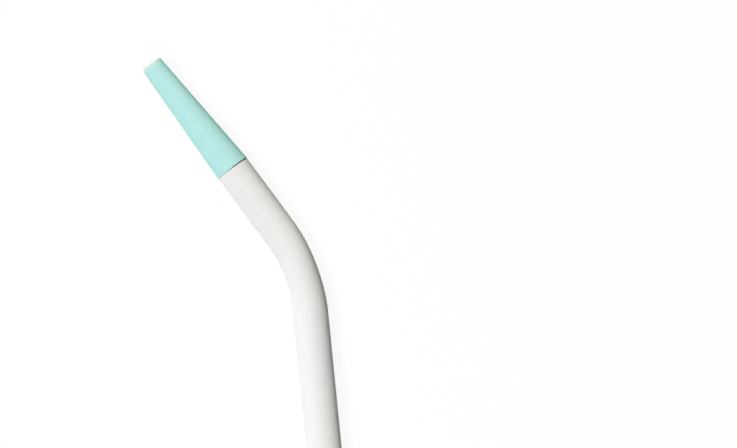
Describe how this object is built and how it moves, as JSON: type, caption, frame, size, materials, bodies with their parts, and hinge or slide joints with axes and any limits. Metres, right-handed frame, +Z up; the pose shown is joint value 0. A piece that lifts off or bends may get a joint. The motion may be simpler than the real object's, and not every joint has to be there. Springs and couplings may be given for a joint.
{
  "type": "suction cannula",
  "caption": "Slim disposable suction cannula: a plain white tube with a gentle bend, ending in a tapered green nozzle with a rounded open mouth.",
  "frame": {"origin": "centre of the footprint, on the surface that the cannula lies on", "axes": "+Z up from the surface, +Y along the straight shaft away from the hose, and the nozzle leans towards -X"},
  "size_m": [0.05, 0.1626, 0.0115],
  "materials": {
    "tube": "satin off-white, extruded",
    "nozzle": "satin mint green, moulded"
  },
  "bodies": {
    "root": {"tube": "tube", "nozzle": "nozzle"}
  },
  "joints": []
}
